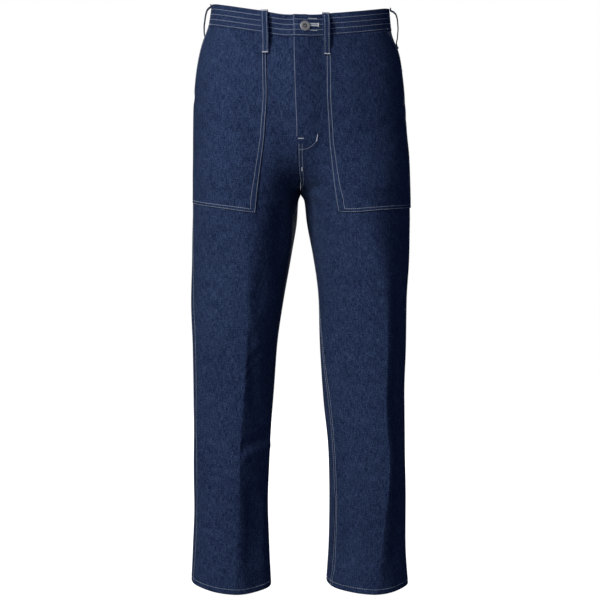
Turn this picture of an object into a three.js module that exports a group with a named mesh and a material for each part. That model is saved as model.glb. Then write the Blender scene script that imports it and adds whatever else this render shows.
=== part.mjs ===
// Straight denim work trousers, held up and filled out at the waist, with nobody in them.
// Millimetres, +Z up, front towards -Y, origin at the middle of the waist ring.
import * as THREE from 'three';

// Driving sizes
const CLOTH = 1.5;
const HEM_CLOTH = 2.8;
const HEM_DEPTH = 9;
const SEAM_GAP = 0.3;
const BAND_CLOTH = 2.6;
const BAND_PROUD = 0.6;
const BAND_HEIGHT = 38;
const POCKET_CLOTH = 1.2;
const LOOP_WIDTH = 12.5;
const LOOP_CLOTH = 1.6;
const FLY_LAP = 4;
const FLY_LIFT = 2.1;
const BAND_LIFT = 1.7;
const BAND_UNDERLAP = 27;
const BUTTON_RADIUS = 8.75;
const WAIST_ROLL = -0.0226;
const ROUNDNESS = 0.56;
const ARC = 112;

// One row per station down the garment. outR and outL are the outer sides, inR and inL the
// inner edges of the two legs, each with its own height; front, side and back are the
// depths of the section's foremost, outermost and rearmost points.
const ROWS = [
  { z: 0, outR: -155, outL: 155, front: -119, side: 0, back: 111, dip: 1 },
  { z: -38, outR: -161, outL: 159, front: -124, side: 2, back: 120, dip: 1 },
  { z: -75, outR: -173, outL: 170.5, front: -129, side: 4, back: 132, dip: 0.8 },
  { z: -120, outR: -181.5, outL: 177.5, front: -133, side: 6, back: 145, dip: 0.45 },
  { z: -170, outR: -186, outL: 182.3, front: -135, side: 8, back: 153, dip: 0.15 },
  { z: -220, outR: -187, outL: 185.5, front: -134, side: 9, back: 156, dip: 0 },
  { z: -262, outR: -187.6, outL: 189.5, front: -131, side: 9, back: 154, dip: 0 },
  { z: -296, outR: -188.5, outL: 191, front: -127, side: 9, back: 148, dip: 0 },
  { z: -322, outR: -189, outL: 191.8, front: -125, side: 9, back: 141, dip: 0 },
  { z: -345, outR: -189.5, outL: 192.3, front: -123, side: 9, back: 134, dip: 0 },
  { z: -368, outR: -189.4, outL: 192.3, front: -121, side: 8, back: 128, dip: 0 },
  { z: -400, outR: -190, outL: 191.3, front: -117, side: 6, back: 120, dip: 0 },
  { z: -450, outR: -190.8, outL: 190, front: -110, side: 3, back: 109, dip: 0 },
  { z: -520, outR: -192, outL: 186.4, front: -100, side: -1, back: 97, dip: 0 },
  { z: -600, outR: -190.3, outL: 185.6, front: -91, side: -3, back: 86, dip: 0 },
  { z: -690, outR: -188.7, outL: 182.9, front: -82, side: -4, back: 76, dip: 0 },
  { z: -780, outR: -188.2, outL: 184.4, front: -76, side: -3, back: 74, dip: 0 },
  { z: -870, outR: -188.3, outL: 186.5, front: -70, side: 2, back: 76, dip: 0 },
  { z: -950, outR: -191, outL: 187.2, front: -64, side: 7, back: 79, dip: 0 },
  { z: -1012, outR: -193.8, outL: 190.5, front: -60, side: 11, back: 82, dip: 0 },
];

// The middle edge at the same stations: the fly and seat seams above the crotch, where
// front and back differ, and the inseam below it, where they are one point.
const MIDDLE = [
  { fz: 0, fx: -9.3, fy: -120, bz: 0, bx: 5, by: 109, turnF: 0, turnB: 0 },
  { fz: -38, fx: -8.6, fy: -126, bz: -38, bx: 5, by: 117, turnF: 0, turnB: 0 },
  { fz: -76, fx: -8.1, fy: -131, bz: -74, bx: 4, by: 127, turnF: 0, turnB: 0 },
  { fz: -122, fx: -7.2, fy: -135, bz: -116, bx: 3, by: 138, turnF: 0, turnB: 0 },
  { fz: -174, fx: -5.7, fy: -137, bz: -162, bx: 2, by: 145, turnF: 0, turnB: 4 },
  { fz: -222, fx: -3.9, fy: -134, bz: -206, bx: 1, by: 146, turnF: 4, turnB: 10 },
  { fz: -262, fx: -4.2, fy: -123, bz: -248, bx: 0, by: 138, turnF: 18, turnB: 20 },
  { fz: -292, fx: -2.8, fy: -100, bz: -284, bx: 0, by: 116, turnF: 38, turnB: 38 },
  { fz: -314, fx: 0, fy: -57, bz: -312, bx: 0, by: 72, turnF: 58, turnB: 58 },
  { fz: -326, fx: 0, fy: 14, bz: -326, bx: 0, by: 14, turnF: 90, turnB: 90 },
  { fz: -339, inR: -4.4, inL: 6.5, iy: 14, turnF: 90, turnB: 90 },
  { fz: -376, inR: -7.4, inL: 11, iy: 12, turnF: 90, turnB: 90 },
  { fz: -438, inR: -17, inL: 22, iy: 8, turnF: 90, turnB: 90 },
  { fz: -518, inR: -30.8, inL: 31.8, iy: 2, turnF: 90, turnB: 90 },
  { fz: -600, inR: -42, inL: 34.6, iy: -1, turnF: 90, turnB: 90 },
  { fz: -690, inR: -48.9, inL: 40.7, iy: -3, turnF: 90, turnB: 90 },
  { fz: -780, inR: -54.2, inL: 48.2, iy: -2, turnF: 90, turnB: 90 },
  { fz: -870, inR: -57.9, inL: 50.9, iy: 2, turnF: 90, turnB: 90 },
  { fz: -950, inR: -56.2, inL: 49.2, iy: 7, turnF: 90, turnB: 90 },
  { fz: -1012, inR: -52.4, inL: 45.6, iy: 11, turnF: 90, turnB: 90 },
];

// Where the foremost and rearmost points lie between middle and side on each half, how
// steeply each front falls away from the fly there, how sharply the leg turns past its
// foremost line, and how far the side seam and inseam sit off the section's extremes, in
// quarter turns.
const TURNS = [
  { frontR: 0.4, frontL: 0.4, tiltR: 0.1, tiltL: 0.21, backAt: 0.42, fold: 0, seam: 0, twist: 0 },
  { frontR: 0.4, frontL: 0.4, tiltR: 0.1, tiltL: 0.22, backAt: 0.42, fold: 0, seam: 0, twist: 0.02 },
  { frontR: 0.4, frontL: 0.4, tiltR: 0.1, tiltL: 0.26, backAt: 0.44, fold: 0, seam: 0, twist: 0.03 },
  { frontR: 0.42, frontL: 0.42, tiltR: 0.09, tiltL: 0.28, backAt: 0.46, fold: 0, seam: 0, twist: 0.04 },
  { frontR: 0.44, frontL: 0.44, tiltR: 0.07, tiltL: 0.27, backAt: 0.48, fold: 0, seam: 0, twist: 0.05 },
  { frontR: 0.46, frontL: 0.46, tiltR: 0.05, tiltL: 0.23, backAt: 0.5, fold: 0, seam: 0.01, twist: 0.06 },
  { frontR: 0.48, frontL: 0.48, tiltR: 0.02, tiltL: 0.13, backAt: 0.5, fold: 0, seam: 0.02, twist: 0.07 },
  { frontR: 0.5, frontL: 0.5, tiltR: 0, tiltL: 0.05, backAt: 0.5, fold: 0, seam: 0.03, twist: 0.08 },
  { frontR: 0.5, frontL: 0.5, tiltR: 0, tiltL: 0, backAt: 0.5, fold: 0, seam: 0.04, twist: 0.09 },
  { frontR: 0.5, frontL: 0.5, tiltR: 0, tiltL: 0, backAt: 0.5, fold: 0, seam: 0.05, twist: 0.1 },
  { frontR: 0.49, frontL: 0.53, tiltR: 0, tiltL: 0, backAt: 0.5, fold: 0.05, seam: 0.06, twist: 0.11 },
  { frontR: 0.47, frontL: 0.57, tiltR: 0, tiltL: 0, backAt: 0.5, fold: 0.12, seam: 0.07, twist: 0.12 },
  { frontR: 0.43, frontL: 0.63, tiltR: 0, tiltL: 0, backAt: 0.5, fold: 0.25, seam: 0.08, twist: 0.13 },
  { frontR: 0.38, frontL: 0.71, tiltR: 0, tiltL: 0, backAt: 0.5, fold: 0.45, seam: 0.09, twist: 0.14 },
  { frontR: 0.34, frontL: 0.75, tiltR: 0, tiltL: 0, backAt: 0.5, fold: 0.75, seam: 0.1, twist: 0.15 },
  { frontR: 0.36, frontL: 0.74, tiltR: 0, tiltL: 0, backAt: 0.5, fold: 1, seam: 0.1, twist: 0.15 },
  { frontR: 0.37, frontL: 0.76, tiltR: 0, tiltL: 0, backAt: 0.5, fold: 1, seam: 0.1, twist: 0.15 },
  { frontR: 0.37, frontL: 0.72, tiltR: 0, tiltL: 0, backAt: 0.5, fold: 1, seam: 0.1, twist: 0.15 },
  { frontR: 0.41, frontL: 0.64, tiltR: 0, tiltL: 0, backAt: 0.5, fold: 0.8, seam: 0.1, twist: 0.15 },
  { frontR: 0.46, frontL: 0.56, tiltR: 0, tiltL: 0, backAt: 0.5, fold: 0.4, seam: 0.1, twist: 0.15 },
];
const FOLD_SHARP = 0.38;

// Height of the waist edge over the side, from the front middle to the back middle in
// steps of an eighth of the half section.
const WAIST_EDGE = [-33.6, -33.2, -32.2, -30.4, -27, -21, -13.8, -6.4, -1.2, 1,
  2.2, 3, 3.5, 3.8, 4, 4, 4];
const WAIST_STEPS = 4;

// Main folds as soft ridges (rise above 0) and troughs: from one point to another, each
// given as quarter turns round the half section and height, with half width and rise.
const FOLDS = [
  { side: -1, s1: 0.38, z1: -346, s2: 0.23, z2: -423, width: 10, rise: 2.6 },
  { side: -1, s1: 0.51, z1: -362, s2: 0.44, z2: -452, width: 13, rise: -5 },
  { side: -1, s1: 0.64, z1: -400, s2: 0.74, z2: -520, width: 18, rise: -2.4 },
  { side: -1, s1: 0.84, z1: -580, s2: 0.63, z2: -684, width: 14, rise: -2.6 },
  { side: -1, s1: 0.27, z1: -751, s2: 0.84, z2: -762, width: 10, rise: -2.6 },
  { side: -1, s1: 0.18, z1: -769, s2: 0.77, z2: -780, width: 10, rise: 3.4 },
  { side: -1, s1: 0.31, z1: -875, s2: 0.35, z2: -979, width: 13, rise: 3 },
  { side: -1, s1: 0.62, z1: -850, s2: 0.64, z2: -960, width: 14, rise: -2.2 },
  { side: -1, s1: 1.6, z1: -560, s2: 1.6, z2: -960, width: 20, rise: -2 },
  { side: 1, s1: 0.35, z1: -324, s2: 0.19, z2: -391, width: 11, rise: -3 },
  { side: 1, s1: 0.21, z1: -862, s2: 0.32, z2: -984, width: 12, rise: -2.4 },
  { side: 1, s1: 1.45, z1: -500, s2: 1.45, z2: -950, width: 16, rise: -2.4 },
  { side: 1, s1: 0.5, z1: -640, s2: 0.62, z2: -760, width: 17, rise: -1.5 },
  { side: -1, s1: 3.6, z1: -330, s2: 2.9, z2: -400, width: 17, rise: -4.5 },
  { side: 1, s1: 3.62, z1: -325, s2: 2.8, z2: -385, width: 17, rise: -4 },
  { side: -1, s1: 3.4, z1: -385, s2: 2.7, z2: -440, width: 15, rise: -3 },
  { side: 1, s1: 3.5, z1: -640, s2: 2.5, z2: -690, width: 20, rise: -4 },
  { side: -1, s1: 3.4, z1: -655, s2: 2.4, z2: -680, width: 20, rise: -4.2 },
  { side: -1, s1: 3.4, z1: -730, s2: 2.5, z2: -745, width: 18, rise: -2.8 },
  { side: 1, s1: 3.4, z1: -745, s2: 2.5, z2: -730, width: 18, rise: -3.2 },
];

// Patch pocket edges. inner: points down the inner edge; the mouth runs from the band to
// the side seam; the foot is the station of its bottom edge at the side.
const POCKETS = {
  right: {
    inner: [
      { x: -58.3, z: -70 },
      { x: -56, z: -176 },
      { x: -61, z: -243 },
      { x: -67.7, z: -293 },
      { x: -72, z: -326 },
      { x: -75.6, z: -365 },
    ],
    foot: 9,
    mouthTop: 1.86,
    mouthZ: -123,
  },
  left: {
    inner: [
      { x: 42.9, z: -70 },
      { x: 43.4, z: -176 },
      { x: 47.8, z: -248 },
      { x: 56.4, z: -320 },
      { x: 63, z: -362 },
    ],
    foot: 9.25,
    mouthTop: 1.75,
    mouthZ: -112,
  },
};

// Belt loops: place round the half section, stand-off from the cloth, and length below the band.
const LOOPS = {
  loop_front_right: { side: -1, s: 0.92, lean: -0.044, clear: 8.2, foot: 1.95, reach: 1.17 },
  loop_front_left: { side: 1, s: 0.84, lean: -0.026, clear: 8.9, foot: 1.95, reach: 1.14 },
  loop_side_right: { side: -1, s: 2.02, lean: 0.0, clear: 8.4, foot: 0.3, reach: 0.75 },
  loop_side_left: { side: 1, s: 1.98, lean: 0.0, clear: 12, foot: 0.3, reach: 0.95 },
  loop_back: { side: 1, s: 4.0, lean: 0.0, clear: 7.4, foot: 0.45, reach: 1 },
};
const LOOP_RUN = [
  { v: -0.04, rise: 0.0 },
  { v: 0.045, rise: 0.02 },
  { v: 0.12, rise: 0.45 },
  { v: 0.26, rise: 0.84 },
  { v: 0.52, rise: 1.0 },
  { v: 0.85, rise: 0.97 },
  { v: 1.15, rise: 0.8 },
  { v: 1.42, rise: 0.5 },
  { v: 1.7, rise: 0.03 },
  { v: 1.9, rise: 0.0 },
];

const clamp = (t, low = 0, high = 1) => Math.min(high, Math.max(low, t));
const mix = (a, b, t) => a + (b - a) * t;
const ease = (low, high, t) => {
  const k = clamp((t - low) / (high - low));
  return k * k * (3 - 2 * k);
};

// Smooth reading of a table column that never swings past its rows
function slope(before, here, after) {
  const a = here - before;
  const b = after - here;
  return a * b <= 0 ? 0 : (2 * a * b) / (a + b);
}

function read(values, v) {
  const last = values.length - 1;
  const i = Math.min(last - 1, Math.max(0, Math.floor(v)));
  const t = clamp(v - i);
  const at = (k) => values[clamp(k, 0, last)];
  const m0 = i === 0 ? at(1) - at(0) : slope(at(i - 1), at(i), at(i + 1));
  const m1 = i + 1 === last ? at(last) - at(i) : slope(at(i), at(i + 1), at(i + 2));
  const t2 = t * t;
  const t3 = t2 * t;
  return (2 * t3 - 3 * t2 + 1) * at(i) + (t3 - 2 * t2 + t) * m0
    + (3 * t2 - 2 * t3) * at(i + 1) + (t3 - t2) * m1;
}

const column = (table, name, spare) => table.map((row) => row[name] ?? row[spare] ?? 0);
const COLUMNS = {
  z: column(ROWS, 'z'),
  outR: column(ROWS, 'outR'),
  outL: column(ROWS, 'outL'),
  front: column(ROWS, 'front'),
  side: column(ROWS, 'side'),
  back: column(ROWS, 'back'),
  dip: column(ROWS, 'dip'),
  fz: column(MIDDLE, 'fz'),
  bz: column(MIDDLE, 'bz', 'fz'),
  fy: column(MIDDLE, 'fy', 'iy'),
  by: column(MIDDLE, 'by', 'iy'),
  fxR: column(MIDDLE, 'inR', 'fx'),
  fxL: column(MIDDLE, 'inL', 'fx'),
  bxR: column(MIDDLE, 'inR', 'bx'),
  bxL: column(MIDDLE, 'inL', 'bx'),
  turnF: column(MIDDLE, 'turnF'),
  turnB: column(MIDDLE, 'turnB'),
  frontR: column(TURNS, 'frontR'),
  frontL: column(TURNS, 'frontL'),
  tiltR: column(TURNS, 'tiltR'),
  tiltL: column(TURNS, 'tiltL'),
  backAt: column(TURNS, 'backAt'),
  fold: column(TURNS, 'fold'),
  seam: column(TURNS, 'seam'),
  twist: column(TURNS, 'twist'),
};
const LAST = ROWS.length - 1;
const CROTCH = 9;
const INSEAM_TURNS = [12.4, 15.4];

const bezier = (a, b, c, d, t) => {
  const u = 1 - t;
  return u * u * u * a + 3 * u * u * t * b + 3 * u * t * t * c + t * t * t * d;
};

// Bare form: s goes from the front middle (0) by the foremost point (1), the side (2) and
// the rearmost point (3) to the back middle (4); v is the station.
function form(side, sRaw, vRaw) {
  const v = clamp(vRaw, 0, LAST);
  let s = sRaw;
  if (v > CROTCH) {
    s = ((s % 4) + 4) % 4;
  }
  const c = {};
  for (const name of Object.keys(COLUMNS)) {
    c[name] = read(COLUMNS[name], v);
  }
  const gap = side * SEAM_GAP * 0.5 * ease(CROTCH + 0.6, CROTCH, v);
  const out = side < 0 ? c.outR : c.outL;
  const fx = (side < 0 ? c.fxR : c.fxL) + gap;
  const bx = (side < 0 ? c.bxR : c.bxL) + gap;
  const kx = mix(fx, out, side < 0 ? c.frontR : c.frontL);
  const lx = mix(bx, out, c.backAt);
  const tilt = side < 0 ? c.tiltR : c.tiltL;
  const keel = tilt * Math.abs(kx - fx);
  const front = c.front + keel;
  const arc = clamp(Math.floor(s), 0, 3);
  const t = s - arc;
  const k = ROUNDNESS;
  const kIn = k - (side < 0 ? FOLD_SHARP * c.fold : 0);
  const kOut = k - (side > 0 ? FOLD_SHARP * c.fold : 0);
  const zt = ease(0, 1, t);
  let x;
  let y;
  let z;
  if (arc === 0) {
    const turn = (c.turnF * Math.PI) / 180;
    const dx = kx - fx;
    const rise = kIn * (Math.sin(turn) * (front - c.fy) + keel);
    x = bezier(fx, fx + kIn * Math.cos(turn) * dx, kx - kIn * dx, kx, t);
    y = bezier(c.fy, c.fy + rise, front - kIn * keel, front, t);
    z = mix(c.fz, c.z, zt);
  } else if (arc === 1) {
    x = bezier(kx, kx + kOut * (out - kx), out, out, t);
    const fall = kOut * tilt * Math.abs(out - kx);
    y = bezier(front, front + fall, c.side + kOut * (front - c.side), c.side, t);
    z = c.z;
  } else if (arc === 2) {
    x = bezier(out, out, lx + k * (out - lx), lx, t);
    y = bezier(c.side, c.side + k * (c.back - c.side), c.back, c.back, t);
    z = c.z;
  } else {
    const turn = (c.turnB * Math.PI) / 180;
    const dx = lx - bx;
    const dy = c.back - c.by;
    x = bezier(lx, lx - k * dx, bx + k * Math.cos(turn) * dx, bx, t);
    y = bezier(c.back, c.back, c.by + k * Math.sin(turn) * dy, c.by, t);
    z = mix(c.z, c.bz, zt);
  }
  z += c.dip * (read(WAIST_EDGE, s * WAIST_STEPS) + WAIST_ROLL * x);
  const hem = ease(-900, -1012, c.z);
  const lean = side < 0 ? -0.073 : -0.032;
  z += hem * (lean * (x - side * 120) + (y < 11 ? 0.13 : 0.05) * (y - 11));
  z += Math.max(0, -vRaw) * BAND_HEIGHT;
  return [x, y, z];
}

const minus = (a, b) => [a[0] - b[0], a[1] - b[1], a[2] - b[2]];
const along = (a, n, k) => [a[0] + n[0] * k, a[1] + n[1] * k, a[2] + n[2] * k];

function outward(side, s, v) {
  const low = v > CROTCH ? s - 0.02 : Math.max(0, s - 0.02);
  const high = v > CROTCH ? s + 0.02 : Math.min(4, s + 0.02);
  const vl = clamp(v - 0.03, 0, LAST);
  const vh = clamp(v + 0.03, 0, LAST);
  const a = minus(form(side, high, v), form(side, low, v));
  const b = minus(form(side, s, vh), form(side, s, vl));
  const n = [a[1] * b[2] - a[2] * b[1], a[2] * b[0] - a[0] * b[2], a[0] * b[1] - a[1] * b[0]];
  n[0] *= 1 - ease(7, 6, v) * ease(0.08, 0, s);
  const length = Math.hypot(n[0], n[1], n[2]) || 1;
  return n.map((value) => (-side * value) / length);
}

function folds(side, s, z) {
  let rise = 0;
  for (const fold of FOLDS) {
    if (fold.side !== side) {
      continue;
    }
    const ax = (fold.s2 - fold.s1) * ARC;
    const az = fold.z2 - fold.z1;
    const px = (s - fold.s1) * ARC;
    const pz = z - fold.z1;
    const t = clamp((px * ax + pz * az) / (ax * ax + az * az));
    const far = Math.hypot(px - ax * t, pz - az * t) / fold.width;
    rise += fold.rise * Math.exp(-far * far);
  }
  return rise;
}

// A point moved out from the finished form by a distance
function skin(side, s, v, out) {
  const p = form(side, s, v);
  const n = outward(side, s, v);
  return along(p, n, folds(side, s, p[2]) + out);
}

// The station where the form reaches a height, and the turn where it reaches a width
function stationAt(side, s, z) {
  let low = 0;
  let high = LAST;
  for (let i = 0; i < 24; i += 1) {
    const mid = (low + high) / 2;
    if (form(side, s, mid)[2] > z) {
      low = mid;
    } else {
      high = mid;
    }
  }
  return (low + high) / 2;
}

function turnAt(side, x, z) {
  let low = 0.001;
  let high = 2;
  for (let i = 0; i < 20; i += 1) {
    const mid = (low + high) / 2;
    if (side * form(side, mid, stationAt(side, mid, z))[0] < side * x) {
      low = mid;
    } else {
      high = mid;
    }
  }
  return (low + high) / 2;
}

// A closed wall from a grid of outer and inner points
function wall(across, down, at) {
  const positions = [];
  const index = [];
  const id = (i, j, layer) => (j * (across + 1) + i) * 2 + layer;
  for (let j = 0; j <= down; j += 1) {
    for (let i = 0; i <= across; i += 1) {
      const { outer, inner } = at(i, j);
      positions.push(...outer, ...inner);
    }
  }
  const quad = (a, b, c, d) => index.push(a, b, c, a, c, d);
  for (let j = 0; j < down; j += 1) {
    for (let i = 0; i < across; i += 1) {
      quad(id(i, j, 0), id(i, j + 1, 0), id(i + 1, j + 1, 0), id(i + 1, j, 0));
      quad(id(i, j, 1), id(i + 1, j, 1), id(i + 1, j + 1, 1), id(i, j + 1, 1));
    }
  }
  for (let j = 0; j < down; j += 1) {
    quad(id(0, j, 0), id(0, j, 1), id(0, j + 1, 1), id(0, j + 1, 0));
    quad(id(across, j, 0), id(across, j + 1, 0), id(across, j + 1, 1), id(across, j, 1));
  }
  for (let i = 0; i < across; i += 1) {
    quad(id(i, 0, 0), id(i + 1, 0, 0), id(i + 1, 0, 1), id(i, 0, 1));
    quad(id(i, down, 0), id(i, down, 1), id(i + 1, down, 1), id(i + 1, down, 0));
  }
  let volume = 0;
  for (let i = 0; i < index.length; i += 3) {
    const [a, b, c] = [index[i] * 3, index[i + 1] * 3, index[i + 2] * 3];
    volume += positions[a] * (positions[b + 1] * positions[c + 2] - positions[b + 2] * positions[c + 1])
      - positions[a + 1] * (positions[b] * positions[c + 2] - positions[b + 2] * positions[c])
      + positions[a + 2] * (positions[b] * positions[c + 1] - positions[b + 1] * positions[c]);
  }
  if (volume < 0) {
    for (let i = 0; i < index.length; i += 3) {
      [index[i + 1], index[i + 2]] = [index[i + 2], index[i + 1]];
    }
  }
  const geometry = new THREE.BufferGeometry();
  geometry.setAttribute('position', new THREE.Float32BufferAttribute(positions, 3));
  geometry.setIndex(index);
  geometry.computeVertexNormals();
  return geometry;
}

// Seam places at a station: side seam and inseam, in quarter turns
function seams(side, v) {
  const seam = read(COLUMNS.seam, v);
  const twist = read(COLUMNS.twist, v);
  const wrap = ease(INSEAM_TURNS[0], INSEAM_TURNS[1], v);
  return {
    sideSeam: 2 - seam + side * twist,
    inseam: wrap * (seam + side * twist),
  };
}

// Turn that moves a seam edge by half the gap along the section
function halfGap(side, s, v) {
  const step = minus(form(side, s + 0.01, v), form(side, s - 0.01, v));
  return (SEAM_GAP * 0.5 * 0.02) / Math.hypot(step[0], step[1], step[2]);
}

function stations() {
  const list = [1 + SEAM_GAP / 37, 1.5, 2, 3, 4];
  for (let v = 5; v <= LAST - 1; v += 0.5) {
    list.push(v);
  }
  list.push(5.62, 9.25, 15.7, 15.88, 18.45, LAST - HEM_DEPTH / 62 - 0.02, LAST - HEM_DEPTH / 62, LAST);
  return list.sort((a, b) => a - b);
}

const thickness = (v) => (v > LAST - HEM_DEPTH / 62 - 0.01 ? HEM_CLOTH : CLOTH);

// Distance of the fly's lap and its lift at a station
const lapAt = (v) => (v < 5.55 ? FLY_LAP : 0);
const liftAt = (v) => FLY_LIFT * ease(6, 5.62, v);

// Grid of a front panel. Columns up to INNER end at the patch pocket's inner edge, the next
// ones up to MOUTH end at its mouth, and one more reaches the side seam.
const INNER = 5;
const MOUTH = 13;
const ACROSS = 14;
const FLY_COLUMN = 0.02;
const EDGE_PARTS = 4;

function frontGrid(side) {
  const plan = side < 0 ? POCKETS.right : POCKETS.left;
  const inner = [plan.inner[0]];
  for (let k = 1; k < plan.inner.length; k += 1) {
    for (let part = 1; part <= EDGE_PARTS; part += 1) {
      const [a, b] = [plan.inner[k - 1], plan.inner[k]];
      const t = part / EDGE_PARTS;
      inner.push({ x: mix(a.x, b.x, t), z: mix(a.z, b.z, t) });
    }
  }
  const last = inner.length - 1;
  const turns = inner.map((point) => turnAt(side, point.x, point.z));
  const levels = inner.map((point, k) => stationAt(side, turns[k], point.z));
  const mouthEnd = stationAt(side, 2, plan.mouthZ);
  const drop = levels[last] - plan.foot;
  const down = stations();
  const edgeAt = (v) => {
    let k = 0;
    while (k < last - 1 && v > levels[k + 1]) {
      k += 1;
    }
    return mix(turns[k], turns[k + 1], clamp((v - levels[k]) / (levels[k + 1] - levels[k]), -1, 1));
  };
  const at = (i, j) => {
    const across = i <= INNER ? i / INNER : clamp((MOUTH - i) / (MOUTH - INNER));
    const reach = Math.min(ease(4.5, plan.foot, down[j]), ease(13, plan.foot, down[j]));
    const v = down[j] + drop * across * reach;
    const { sideSeam, inseam } = seams(side, v);
    const below = ease(CROTCH - 0.5, CROTCH, v);
    const s0 = inseam + below * halfGap(side, inseam + 0.02, v);
    const s1 = sideSeam - halfGap(side, sideSeam, v);
    const mouth = mix(plan.mouthTop, s1 - 0.02, clamp((v - 1) / (mouthEnd - 1)));
    let s = s1;
    if (i <= INNER) {
      s = mix(s0, edgeAt(v), i === 1 ? FLY_COLUMN : Math.max(0, i - 1) / (INNER - 1));
    } else if (i <= MOUTH) {
      s = mix(edgeAt(v), mouth, (i - INNER) / (MOUTH - INNER));
    }
    return { s: mix(s, mix(s0, s1, i / ACROSS), ease(levels[last], 12.5, v)), v };
  };
  return { down, at, foot: down.indexOf(plan.foot) };
}

function frontPanel(side) {
  const grid = frontGrid(side);
  const laps = side > 0;
  return wall(ACROSS, grid.down.length - 1, (i, j) => {
    const { s, v } = grid.at(i, j);
    let lift = 0;
    if (laps) {
      const reach = Math.abs(form(side, s, v)[0] - form(side, 0, Math.min(v, CROTCH))[0]);
      lift = liftAt(v) * ease(48, 18, reach);
    }
    const outer = skin(side, s, v, lift);
    const inner = skin(side, s, v, lift - thickness(v));
    if (laps && i === 0) {
      outer[0] -= lapAt(v);
      inner[0] -= lapAt(v);
    }
    return { outer, inner };
  });
}

function backPanel(side) {
  const down = stations();
  const across = 12;
  return wall(across, down.length - 1, (i, j) => {
    const v = down[j];
    const { sideSeam, inseam } = seams(side, v);
    const below = ease(CROTCH - 0.5, CROTCH, v);
    const s0 = sideSeam + halfGap(side, sideSeam, v);
    const end = 4 + inseam;
    const s1 = end - below * halfGap(side, end - 0.02, v);
    const s = mix(s0, s1, i / across);
    return { outer: skin(side, s, v, 0), inner: skin(side, s, v, -thickness(v)) };
  });
}

// The band in two halves, open at the front middle, where the left laps the right
function bandPoint(side, s, v, out, shift) {
  const outer = skin(side, s, v, out);
  const inner = skin(side, s, v, out - BAND_CLOTH);
  outer[0] += shift;
  inner[0] += shift;
  return { outer, inner };
}

function waistband(side) {
  const turns = [];
  const steps = 26;
  for (let i = 0; i <= steps; i += 1) {
    turns.push((4 * i) / steps);
  }
  turns.splice(1, 0, FLY_COLUMN);
  const middle = form(side, 0, 0.5)[0];
  const rows = [0, 0.5, 1];
  const under = [-BAND_UNDERLAP, -BAND_UNDERLAP * 0.66, -BAND_UNDERLAP * 0.33];
  const extra = side < 0 ? under.length : 0;
  return wall(turns.length - 1 + extra, rows.length - 1, (i, j) => {
    const v = rows[j];
    if (side < 0 && i < extra) {
      const s = turnAt(1, middle - under[i], -46);
      return bandPoint(1, s, v, BAND_PROUD - 1.5, 0);
    }
    const s = turns[i - extra];
    const reach = s < 2 ? Math.abs(form(side, s, v)[0] - middle) : 200;
    let out = BAND_PROUD;
    if (side > 0) {
      out += BAND_LIFT * ease(44, 26, reach);
    } else {
      out -= 1.5 * ease(30, 12, reach);
    }
    const shift = side > 0 && i === 0 ? -FLY_LAP : 0;
    return bandPoint(side, s, v, out, shift);
  });
}

// A patch pocket on its front panel's own grid points, moved out
function pocket(side) {
  const grid = frontGrid(side);
  return wall(MOUTH - INNER, grid.foot, (i, j) => {
    const { s, v } = grid.at(i + INNER, j);
    return {
      outer: skin(side, s, v, SEAM_GAP + POCKET_CLOTH),
      inner: skin(side, s, v, SEAM_GAP),
    };
  });
}

function beltLoop(plan) {
  const across = 2;
  return wall(across, LOOP_RUN.length - 1, (i, j) => {
    const row = LOOP_RUN[j];
    const v = row.v < 1 ? row.v : 1 + (row.v - 1) * plan.reach;
    const s = plan.s + plan.lean * v;
    const base = form(plan.side, s, v);
    const n = outward(plan.side, s, clamp(v, 0, LAST));
    const step = minus(form(plan.side, s, v), form(plan.side, s - 0.02, v));
    const run = Math.hypot(step[0], step[1]);
    const t = [step[0] / run, step[1] / run, 0];
    const foot = row.v < 1 ? BAND_PROUD + 0.4 : plan.foot;
    const clear = mix(foot, plan.clear, row.rise) + folds(plan.side, s, base[2]);
    const shift = (i / across - 0.5) * LOOP_WIDTH;
    const sag = 0.35 * (i === 1 ? 1 : 0);
    const middle = along(base, t, shift);
    return {
      outer: along(middle, n, clear + sag + LOOP_CLOTH),
      inner: along(middle, n, clear + sag),
    };
  });
}

// Metal button: dished disc with a raised rim and middle
function button() {
  const r = BUTTON_RADIUS;
  const profile = [
    [0, 0],
    [r * 0.9, 0],
    [r, 0.7],
    [r * 0.93, 1.9],
    [r * 0.78, 2.3],
    [r * 0.6, 1.3],
    [r * 0.42, 1.2],
    [r * 0.34, 2.0],
    [r * 0.2, 2.3],
    [0, 2.35],
  ];
  const shape = new THREE.LatheGeometry(profile.map(([x, y]) => new THREE.Vector2(x, y)), 28);
  shape.rotateX(Math.PI / 2);
  const s = turnAt(1, 6.7, -53.6);
  const v = stationAt(1, s, -53.6);
  const n = outward(1, s, v);
  const seat = skin(1, s, v, BAND_PROUD + BAND_LIFT + 0.75);
  const turn = new THREE.Quaternion().setFromUnitVectors(
    new THREE.Vector3(0, 0, 1),
    new THREE.Vector3(...n),
  );
  shape.applyQuaternion(turn);
  shape.translate(...seat);
  return shape;
}

const denim = () => new THREE.MeshStandardMaterial({
  color: new THREE.Color(0.03, 0.046, 0.105),
  roughness: 0.93,
  metalness: 0,
});
const metal = () => new THREE.MeshStandardMaterial({
  color: new THREE.Color(0.42, 0.43, 0.46),
  roughness: 0.38,
  metalness: 1,
});

const group = new THREE.Group();
group.name = 'denim_trousers';

function add(name, geometry, material) {
  const mesh = new THREE.Mesh(geometry, material);
  mesh.name = name;
  group.add(mesh);
}

add('front_right', frontPanel(-1), denim());
add('front_left', frontPanel(1), denim());
add('back_right', backPanel(-1), denim());
add('back_left', backPanel(1), denim());
add('waistband_right', waistband(-1), denim());
add('waistband_left', waistband(1), denim());
add('pocket_right', pocket(-1), denim());
add('pocket_left', pocket(1), denim());
for (const [name, plan] of Object.entries(LOOPS)) {
  add(name, beltLoop(plan), denim());
}
add('button', button(), metal());

export default group;
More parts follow.
